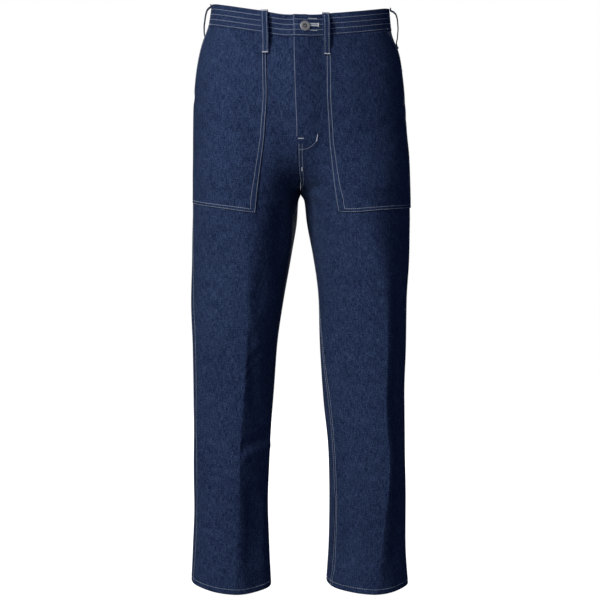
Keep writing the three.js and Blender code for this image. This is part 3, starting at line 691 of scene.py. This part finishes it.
DENIM_DARK = (0.0028, 0.0070, 0.030, 1)
DENIM_MID = (0.0155, 0.0315, 0.092, 1)
DENIM_PALE = (0.066, 0.104, 0.205, 1)
body_denim = denim("indigo_denim", DENIM_DARK, DENIM_MID, DENIM_PALE)
body_inside = denim("denim_weft_side", (0.11, 0.13, 0.18, 1), (0.22, 0.25, 0.31, 1),
                    (0.40, 0.43, 0.48, 1))
CLOTH_FINISH = [body_denim, body_inside]
thread = cotton_thread("pale_topstitch", (0.62, 0.68, 0.78, 1), (0.36, 0.42, 0.52, 1))
tack_thread = cotton_thread("white_tack_thread", (0.93, 0.94, 0.95, 1), (0.66, 0.69, 0.74, 1))
button_metal = metal("button_metal", (0.53, 0.52, 0.515, 1), (0.3, 0.295, 0.29, 1), 0.38)
# painted shade: near-black metal for the groove round the button's middle, standing in for the
# shade that falls in it
button_painted_shade = metal("button_recess_painted_shade", (0.03, 0.028, 0.026, 1), (0.01, 0.01, 0.01, 1), 0.5)

HALVES = ((-1, "right"), (1, "left"))

# ---- panels
for side, label in HALVES:
    panel("front_" + label + "_cloth", side, FRONT_LINE,
                                     front_edges, lapped=side > 0)
    "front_" + label
    panel("back_" + label + "_cloth", side, BACK_LINE, back_edges)
    "back_" + label

# ---- patch pockets
POCKET_POINTS = (46, 92)


def pocket(side, label):
    a = np.linspace(0, 1, POCKET_POINTS[0])[None, :]
    b = np.linspace(0, 1, POCKET_POINTS[1])[:, None]
    s, v = pocket_place(side, a, b)
    points = skin(side, s, v, POCKET_LIFT + pocket_swell(a, b))
    return cloth("pocket_" + label + "_cloth", points, outward(side, s, v), CLOTH_FINISH,
                 POCKET_CLOTH)


for side, label in HALVES:
    pocket(side, label)
    "pocket_" + label

# ---- waistband
BAND_POINTS = (140, 13)
LAP_SLOPE = (44, 26)  # reach from the fly between which the lapped end of the band rises
DROP_SLOPE = (30, 12)  # and between which the end behind it falls
UNDERLAP_POINTS, UNDERLAP_Z = 9, -46.0


def band_out(side, s, v):
    """Outer face of the band over the form."""
    middle = form(side, 0.0, 0.5)[0]
    reach = np.where(s < SIDE, np.abs(form(side, s, v)[..., 0] - middle), 200.0)
    if side > 0:
        return BAND_PROUD + BAND_LIFT * ease(*LAP_SLOPE, reach)
    return BAND_PROUD - BAND_DROP * ease(*DROP_SLOPE, reach)


def waistband(side, label):
    v = np.linspace(0, 1, BAND_POINTS[1])[:, None]
    s = np.linspace(0, BACK, BAND_POINTS[0])[None, :]
    s, v = np.broadcast_arrays(s, v)
    points = skin(side, s, v, band_out(side, s, v))
    normals = outward(side, s, v)
    if side > 0:
        points[..., 0] -= FLY_LAP * ease(LAP_EDGE, 0.0, s)
    else:
        middle = form(-1, 0.0, 0.5)[0]
        reach = np.linspace(BAND_UNDERLAP, 3, UNDERLAP_POINTS)
        turns = turn_at(1, middle + reach, UNDERLAP_Z)[None, :]
        turns, rows = np.broadcast_arrays(turns, v[:, :1])
        under = skin(1, turns, rows, BAND_PROUD - BAND_DROP)
        points = np.concatenate((under, points), axis=1)
        normals = np.concatenate((outward(1, turns, rows), normals), axis=1)
    piece = cloth("waistband_" + label + "_cloth", points, normals, [body_denim], BAND_CLOTH)
    soften_edges(piece, 0.7)
    return piece


for side, label in HALVES:
    waistband(side, label)
    "waistband_" + label

# ---- belt loops
# Turn of the middle, its drift to a station, how far the loop stands off the form, how far
# its foot does, and how far the foot reaches below the band
LOOPS = {
    "loop_front_right": dict(side=-1, s=0.92, lean=-0.044, clear=8.2, foot=1.95, reach=1.17),
    "loop_front_left": dict(side=1, s=0.84, lean=-0.026, clear=8.9, foot=1.95, reach=1.14),
    "loop_side_right": dict(side=-1, s=2.02, lean=0.0, clear=8.4, foot=0.3, reach=0.75),
    "loop_side_left": dict(side=1, s=1.98, lean=0.0, clear=12.0, foot=0.3, reach=0.95),
    "loop_back": dict(side=1, s=4.0, lean=0.0, clear=7.4, foot=0.45, reach=1.0),
}
# Stand-off along the run of a loop (0 is the band's top, 1 its foot), as a share of clear
LOOP_V = (-0.04, 0.045, 0.12, 0.26, 0.52, 0.85, 1.15, 1.42, 1.7, 1.9)
LOOP_RISE = np.array((0.0, 0.02, 0.45, 0.84, 1.0, 0.97, 0.8, 0.5, 0.03, 0.0))
LOOP_POINTS = (11, 60)
# Rounded folds at the ends of a loop: height, place in the run, and half length
LOOP_FOLDS = ((0.55, 1.9, 0.03), (0.5, -0.05, 0.03))


def loop_frame(plan, run):
    """Middle line, outward and sideways directions and stand-off of a loop along its run."""
    side = plan["side"]
    run = np.asarray(run, dtype=float)
    v = np.where(run < 1, run, 1 + (run - 1) * plan["reach"])
    s = plan["s"] + plan["lean"] * v
    base = form(side, s, v)
    n = outward(side, s, np.clip(v, 0, LAST))
    step = base - form(side, s - TURN_STEP, v)
    step[..., 2] = 0
    t = step / np.linalg.norm(step, axis=-1, keepdims=True)
    knots = read(LOOP_RISE, np.interp(run, LOOP_V, range(len(LOOP_V))))
    foot = mix(BAND_PROUD + 0.4, plan["foot"], ease(0.9, 1.1, run))
    clear = mix(foot, plan["clear"], knots) + rise(side, s, base[..., 2])
    return base, n, t, clear


def loop_bow(across):
    return LOOP_BOW * (1 - (2 * across) ** 2)


def belt_loop(name, plan):
    v = np.linspace(LOOP_V[0], LOOP_V[-1], LOOP_POINTS[1])
    base, n, t, clear = loop_frame(plan, v)
    width = np.linspace(-0.5, 0.5, LOOP_POINTS[0])
    fold = sum(high * np.exp(-((v - place) / long) ** 2) for high, place, long in LOOP_FOLDS)
    out = clear[:, None] + loop_bow(width)[None, :] + LOOP_CLOTH + fold[:, None]
    points = (base[:, None, :] + t[:, None, :] * (width * LOOP_WIDTH)[None, :, None]
              + n[:, None, :] * out[..., None])
    normals = np.broadcast_to(n[:, None, :], points.shape)
    piece = cloth(name + "_cloth", points, normals, [body_denim], LOOP_CLOTH)
    soften_edges(piece, 0.5)
    return piece


for name, plan in LOOPS.items():
    belt_loop(name, plan)


# ---- sewing
def stitch_shape():
    """A small blunt ball of thread, 1 across, that lies along x."""
    bm = bmesh.new()
    bmesh.ops.create_uvsphere(bm, u_segments=6, v_segments=5, radius=0.5)
    bmesh.ops.transform(bm, matrix=Matrix.Rotation(math.pi / 2, 4, "Y"), verts=bm.verts[:])
    for vert in bm.verts:
        x = vert.co.x * 2
        vert.co.x = math.copysign(abs(x) ** 0.8, x) / 2
    bmesh.ops.triangulate(bm, faces=bm.faces[:])
    return bm


def repeat(bm, count):
    """Duplicate the whole shape in bm until it is there count times; the vertex layer
    "order" numbers the vertices of copy after copy."""
    each = len(bm.verts)
    order = bm.verts.layers.int.new("order")
    for k, vert in enumerate(bm.verts):
        vert[order] = k
    made = 1
    while made < count:
        part = min(made, count - made)
        again = [face for face in bm.faces if face.verts[0][order] < part * each]
        found = bmesh.ops.duplicate(bm, geom=again)["geom"]
        for vert in found:
            if isinstance(vert, bmesh.types.BMVert):
                vert[order] += made * each
        made += part


def sew(name, marks, material):
    """One piece of stitches from marks: rows of (centre, along, out, long, wide, high)."""
    bm = stitch_shape()
    shape = np.array([vert.co[:] for vert in bm.verts])
    repeat(bm, len(marks))
    mesh = bpy.data.meshes.new(name)
    bm.to_mesh(mesh)
    bm.free()
    centre, along, out = (np.array([mark[part] for mark in marks]) for part in range(3))
    size = np.array([mark[3:] for mark in marks])
    along = along / np.linalg.norm(along, axis=1, keepdims=True)
    beside = np.cross(out, along)
    beside /= np.linalg.norm(beside, axis=1, keepdims=True)
    up = np.cross(along, beside)
    verts = (centre[:, None, :]
             + shape[None, :, 0, None] * (along * size[:, 0:1])[:, None, :]
             + shape[None, :, 1, None] * (beside * size[:, 1:2])[:, None, :]
             + shape[None, :, 2, None] * (up * size[:, 2:3])[:, None, :])
    order = np.empty(len(mesh.vertices), dtype=np.int32)
    mesh.attributes["order"].data.foreach_get("value", order)
    mesh.attributes.remove(mesh.attributes["order"])
    mesh.vertices.foreach_set("co", (verts.reshape(-1, 3)[order] * MM).ravel())
    mesh.polygons.foreach_set("use_smooth", [True] * len(mesh.polygons))
    mesh.update()
    mesh.materials.append(material)
    piece = bpy.data.objects.new(name, mesh)
    root.objects.link(piece)
    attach(piece, "root")
    return piece


def row_marks(points, normals):
    """Running stitches along a line of points."""
    run = np.concatenate(([0], np.cumsum(np.linalg.norm(np.diff(points, axis=0), axis=1))))
    count = max(1, int(round(run[-1] / THREAD_PITCH)))

    def on(line, place):
        return np.array([np.interp(place, run, line[:, axis]) for axis in range(3)])

    marks = []
    for k in range(count):
        middle = (k + 0.5) / count * run[-1]
        along = on(points, middle + THREAD_LONG / 2) - on(points, middle - THREAD_LONG / 2)
        marks.append((on(points, middle), along, on(normals, middle),
                      THREAD_LONG, THREAD_WIDE, THREAD_HIGH))
    return marks


def line_on(side, s, v, out):
    """Points and normals for a row of stitches that rests on cloth standing out."""
    s, v = np.broadcast_arrays(np.asarray(s, float), np.asarray(v, float))
    return skin(side, s, v, np.broadcast_to(out, s.shape) + THREAD_REST), outward(side, s, v)


TACK_THREAD = 0.62
TACK_SLANT = 0.25


def bar_marks(centre, along, out, length, wide, count):
    """A bar tack: close threads across its own line."""
    along = along / np.linalg.norm(along)
    across = np.cross(out, along)
    across /= np.linalg.norm(across)
    marks = []
    for k in range(count):
        shift = ((k + 0.5) / count - 0.5) * length
        turn = across + along * (TACK_SLANT if k % 2 else -TACK_SLANT)
        marks.append((centre + along * shift + out * 0.25, turn, out, wide, TACK_THREAD,
                      TACK_THREAD))
    return marks


# Rows: stations on the band, then millimetres in from the edge that each row follows
BAND_ROWS = (0.228, 0.458, 0.69, 0.925)
BAND_END_ROW = 1.6
POCKET_ROWS = (1.7, 8.9)
MOUTH_ROWS = (1.8, 8.5)
INSEAM_ROWS = (1.6, 7.4)
SIDE_ROW = 1.7
HEM_ROW = 8.2
FLY_EDGE_ROW = 1.5
BELOW_FLY_ROWS = (1.3, 6.6)
SEAT_ROWS = (1.5, 7.5)
LOOP_ROWS = (-3.5, 3.5)
LAST_STATION_HIGH = 62

band_rows = []
for side, label in HALVES:
    for v in BAND_ROWS:
        s = np.linspace(0, BACK, 400)
        points, normals = line_on(side, s, v, band_out(side, s, np.full(s.shape, v)))
        if side > 0:
            points[:, 0] -= FLY_LAP * ease(LAP_EDGE, 0.0, s)
        band_rows += row_marks(points, normals)
v = np.linspace(0.04, 0.96, 40)
points, normals = line_on(1, 0.0, v, BAND_PROUD + BAND_LIFT)
points[:, 0] -= FLY_LAP - BAND_END_ROW
band_rows += row_marks(points, normals)
sew("band_stitching", band_rows, thread)

POCKET_WIDE = 128.0


def pocket_rows(side):
    """The rows down the inner edge and along the foot, and those beside the mouth."""
    marks = []
    plan = POCKETS[side]
    tall = abs(plan["z"][-1] - plan["z"][0])
    for inset in POCKET_ROWS:
        a_in, b_in = inset / POCKET_WIDE, 1 - inset / tall
        down, along = np.linspace(0.0, b_in, 160), np.linspace(a_in, 0.99, 90)
        a = np.concatenate((np.full(down.shape, a_in), along))
        b = np.concatenate((down, np.full(along.shape, b_in)))
        s, v = pocket_place(side, a, b)
        points, normals = line_on(side, s, v, POCKET_LIFT + pocket_swell(a, b))
        marks += row_marks(points, normals)
    for inset in MOUTH_ROWS:
        s, v = pocket_place(side, 1 - inset / POCKET_WIDE, np.linspace(0.005, 0.36, 60))
        keep = v < plan["mouth_end"] + 0.1
        points, normals = line_on(side, s[keep], v[keep], POCKET_LIFT + 0.1)
        marks += row_marks(points, normals)
    return marks


for side, label in HALVES:
    sew("pocket_stitching_" + label, pocket_rows(side), thread)
    "pocket_rows_" + label

seam_rows = []
for side, label in HALVES:
    v = np.linspace(CROTCH + 0.15, LAST - 0.02, 420)
    edge = seams(side, v)[1]
    for inset in INSEAM_ROWS:
        s = edge + inset / span(side, edge + TURN_STEP, v)
        seam_rows += row_marks(*line_on(side, s, v, 0.0))
    v = np.linspace(BAND_FOOT + 0.05, LAST - 0.02, 500)
    edge = seams(side, v)[0]
    seam_rows += row_marks(*line_on(side, edge + SIDE_ROW / span(side, edge, v), v, 0.0))
    turns = np.linspace(0, BACK, 260)
    seam_rows += row_marks(*line_on(side, turns, LAST - HEM_ROW / LAST_STATION_HIGH, 0.0))
sew("seam_and_hem_stitching", seam_rows, thread)

# The fly: edge line, the two seam lines below it, curved line (x and z), and the seat seam
CURVE_X = (-3.0, 1.5, 6.5, 12.0, 17.5, 22.5, 26.2, 27.8, 28.2)
CURVE_Z = (-259.5, -259.2, -258.6, -257.0, -254.0, -249.5, -244.5, -239.5, -232.0)
fly_rows = []
v = np.linspace(BAND_FOOT + 0.02, 5.38, 200)
points, normals = line_on(1, 0.0, v, FLY_LIFT)
points[:, 0] -= FLY_LAP - FLY_EDGE_ROW
fly_rows += row_marks(points, normals)
for inset in BELOW_FLY_ROWS:
    v = np.linspace(5.66, 8.35, 120)
    s = inset / span(1, TURN_STEP, v)
    fly_rows += row_marks(*line_on(1, s, v, FLY_LIFT * ease(LAP_FLAT, LAP_END, v)))
fine, knots = np.linspace(0, 1, 60), np.linspace(0, 1, len(CURVE_X))
x, z = np.interp(fine, knots, CURVE_X), np.interp(fine, knots, CURVE_Z)
s = turn_at(1, x, z)
v = station_at(1, s, z)
fly_rows += row_marks(*line_on(1, s, v, fly_lift(s, v)))
for inset in SEAT_ROWS:
    v = np.linspace(BAND_FOOT + 0.05, 8.6, 320)
    s = BACK - inset / span(1, 3.97, v)
    fly_rows += row_marks(*line_on(1, s, v, 0.0))
sew("fly_and_seat_stitching", fly_rows, thread)

loop_rows, tacks = [], []
for plan in LOOPS.values():
    base, n, t, clear = loop_frame(plan, np.linspace(-0.03, 1.86, 90))
    for offset in LOOP_ROWS:
        lift = clear + LOOP_CLOTH + loop_bow(offset / LOOP_WIDTH) + THREAD_REST
        loop_rows += row_marks(base + t * offset + n * lift[:, None], n)
    for end in (-0.01, 1.86):
        base, n, t, clear = loop_frame(plan, np.array([end]))
        lift = clear + LOOP_CLOTH + 0.75
        tacks += bar_marks((base + n * lift[:, None])[0], t[0], n[0], 10.5, 1.9, 19)
sew("loop_stitching", loop_rows, thread)


def tack_at(side, x, z, dx, dz, length, wide, out):
    """A bar tack on a front half at x and z that runs towards (dx, dz)."""
    s = float(turn_at(side, x, z))
    v = float(station_at(side, s, z))
    s2 = float(turn_at(side, x + dx, z + dz))
    v2 = float(station_at(side, s2, z + dz))
    here, there = skin(side, np.array([s, s2]), np.array([v, v2]), np.array([out, out]))
    n = outward(side, np.array([s]), np.array([v]))[0]
    return bar_marks(here, there - here, n, length, wide, int(length / 0.55))


# At the fly's foot, the end of the curved row, and the crotch
tacks += tack_at(1, 0.5, -240.8, 3.0, 0.0, 9.5, 1.8, FLY_LIFT)
tacks += tack_at(1, 27.3, -240.5, 1.4, 8.0, 10.5, 1.9, FLY_LIFT)
tacks += tack_at(1, 2.4, -290.0, 0.2, -5.0, 9.0, 1.9, 0.5)
# At both ends of each pocket's mouth
for side, label in HALVES:
    x, _, z = (float(value) for value in form(side, *pocket_place(side, 0.985, 0.01)))
    tacks += tack_at(side, x - side * 3, z + 6, side * 3.0, 0.0, 7.5, 1.8, BAND_PROUD)
    v = np.array([POCKETS[side]["mouth_end"]])
    s = seams(side, v)[0] - 0.05
    n = outward(side, s, v)[0]
    tacks += bar_marks(skin(side, s, v, POCKET_LIFT + 0.05)[0], np.cross(n, (0, 0, 1.0)), n,
                       8.0, 1.8, 15)
sew("bar_tacks", tacks, tack_thread)

# ---- buttonhole and button
HOLE_Z = -50.6
BUTTON_X, BUTTON_Z = 6.7, -53.6
BUTTON_SEAT = 0.75
# Half section of the button's face: radius as a share of the whole, and height
BUTTON_OUTLINE = (
    (0.0, 0.0), (0.88, 0.0), (0.97, 0.35), (1.0, 0.9), (0.98, 1.45), (0.93, 1.9),
    (0.85, 2.15), (0.76, 2.2), (0.60, 2.1), (0.46, 2.1), (0.40, 2.0), (0.36, 1.6),
    (0.33, 1.0), (0.22, 0.95), (0.19, 1.3), (0.16, 1.7), (0.10, 1.85), (0.0, 1.9))
# Ring of the face, as shares of the radius, that is the groove round the middle; it takes the
# near-black painted shade
PAINTED_SHADE_RING = (0.175, 0.38)
BUTTON_STEPS = 56


def on_band(spots, extra):
    """Points on the lapped end of the band at (x, z) spots, and their normals."""
    x, z = np.array(spots, dtype=float).T
    s = turn_at(1, x, z)
    v = station_at(1, s, z)
    return skin(1, s, v, np.full(s.shape, BAND_PROUD + BAND_LIFT + extra)), outward(1, s, v)


# Close stitches along both edges, a bar at the end, and the dashes over and under the hole
edge_spots = [(12.0 + 0.62 * k, HOLE_Z + up) for up in (1.6, -1.6) for k in range(27)]
end_spots = [(beside, HOLE_Z - 3.0 + 0.6 * k) for beside in (28.6, 29.6) for k in range(11)]
dash_spots = [(13.0 + 2.6 * k, HOLE_Z + up) for up in (10.4, -9.6) for k in range(6)]
hole = []
for spots, extra, along, long, wide, high in (
        (edge_spots, 0.35, (0, 0, 1.0), 2.3, 0.6, 0.7),
        (end_spots, 0.35, (1.0, 0, 0), 1.6, 0.66, 0.8),
        (dash_spots, 0.3, (1.0, 0, 0), 2.5, 1.15, 0.7)):
    for place, out in zip(*on_band(spots, extra)):
        hole.append((place, np.array(along), out, long, wide, high))
sew("buttonhole_stitching", hole, tack_thread)

seat, out = (found[0] for found in on_band([(BUTTON_X, BUTTON_Z)], BUTTON_SEAT))
bm = bmesh.new()
profile = [bm.verts.new((share * BUTTON_RADIUS * MM, 0, up * MM)) for share, up in BUTTON_OUTLINE]
edges = [bm.edges.new(pair) for pair in zip(profile, profile[1:])]
bmesh.ops.spin(bm, geom=profile + edges, cent=(0, 0, 0), axis=(0, 0, 1), angle=2 * math.pi,
               steps=BUTTON_STEPS, use_merge=True)
bmesh.ops.remove_doubles(bm, verts=bm.verts[:], dist=1e-6)
bmesh.ops.recalc_face_normals(bm, faces=bm.faces[:])
# The groove's faces get the second material, the painted shade
for face in bm.faces:
    share = math.hypot(*face.calc_center_median()[:2]) / (BUTTON_RADIUS * MM)
    if PAINTED_SHADE_RING[0] < share < PAINTED_SHADE_RING[1]:
        face.material_index = 1
turn = Vector((0, 0, 1)).rotation_difference(Vector(out)).to_matrix().to_4x4()
bmesh.ops.transform(bm, matrix=turn, verts=bm.verts[:])
bmesh.ops.translate(bm, vec=Vector(seat * MM), verts=bm.verts[:])
finish_piece(bm, "button_face", [button_metal, button_painted_shade])

# ---- frame calls
for node in ("front_right", "front_left", "back_right", "back_left", "waistband_right",
             "waistband_left", "pocket_right", "pocket_left", *LOOPS, "button"):
    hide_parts(node)

# ---- floor, light and camera
FLOOR_Z = -1.035
bpy.ops.mesh.primitive_plane_add(size=30, location=(0, 0, FLOOR_Z))
floor = bpy.context.object
floor.name = "floor"
floor_finish = Finish("pale_floor")
floor_where = floor_finish.place((1, 1, 1), source="object")
floor_tone = floor_finish.noise(floor_where, 1.5, 2.0, 0.5)
floor.data.materials.append(floor_finish.surface(
    Base_Color=floor_finish.colours(floor_tone, (0.3, 0.3, 0.3, 1), (0.32, 0.32, 0.32, 1)),
    Roughness=0.9, Emission_Color=(1, 1, 1, 1), Emission_Strength=1.0))
floor.visible_diffuse = False
floor.visible_glossy = False

scene = bpy.context.scene
scene.view_settings.view_transform = "Standard"
scene.world = bpy.data.worlds.new("studio")
studio = Finish("studio", scene.world)
path = studio.node("ShaderNodeLightPath", {}, {})
seen = studio.node("ShaderNodeBackground", {}, {"Color": (1, 1, 1, 1), "Strength": 1.0})
soft = studio.node("ShaderNodeBackground", {}, {"Color": (0.45, 0.58, 1, 1), "Strength": 0.07})
blend = studio.node("ShaderNodeMixShader", {}, {
    0: path.outputs["Is Camera Ray"], 1: soft.outputs[0], 2: seen.outputs[0]})
studio.node("ShaderNodeOutputWorld", {}, {0: blend.outputs[0]})


def lamp(name, place, aim, size, power, colour=(1, 1, 1)):
    data = bpy.data.lights.new(name, "AREA")
    data.shape = "RECTANGLE"
    data.size, data.size_y = size
    data.energy = power
    data.color = colour
    light = bpy.data.objects.new(name, data)
    root.objects.link(light)
    light.location = place
    light.rotation_euler = (Vector(aim) - Vector(place)).to_track_quat("-Z", "Y").to_euler()


lamp("key", (-1.4, -1.85, 0.7), (0, 0, -0.35), size=(0.8, 1.3), power=45)
lamp("low_front", (-0.6, -2.7, -0.9), (-0.08, 0, -0.75), size=(0.7, 0.7), power=14)
lamp("side_fill", (2.2, -1.0, 0.0), (0, 0, -0.5), size=(1.0, 1.6), power=2.5,
     colour=(0.35, 0.5, 1))
lamp("back_wash", (0.35, 3.0, 0.5), (0, 0, -0.5), size=(1.2, 1.2), power=72)

# The photograph, in its pixels: width, the garment's middle and top, and the eye's height
PHOTO = 600
MIDDLE_X, TOP_Y = 300.6, 8
HORIZON = 267.0
PIXEL = 1.76  # millimetres of garment to a pixel
DISTANCE = 2600.0
SENSOR = 36


def photo_point(px, py):
    """A place on the garment's own plane for a pixel of the photograph, in millimetres."""
    return (px - MIDDLE_X) * PIXEL, (TOP_Y - py) * PIXEL


aim_x, aim_z = photo_point(PHOTO / 2, PHOTO / 2)
eye_x, eye_z = photo_point(PHOTO / 2, HORIZON)
camera_data = bpy.data.cameras.new("camera")
camera_data.sensor_width = SENSOR
camera_data.lens = SENSOR * DISTANCE / (PHOTO * PIXEL)
camera_data.clip_end = 60
camera = bpy.data.objects.new("camera", camera_data)
root.objects.link(camera)
camera.location = (eye_x * MM, -DISTANCE * MM, eye_z * MM)
look = Vector((aim_x * MM, 0, aim_z * MM)) - camera.location
camera.rotation_euler = look.to_track_quat("-Z", "Y").to_euler()
scene.camera = camera
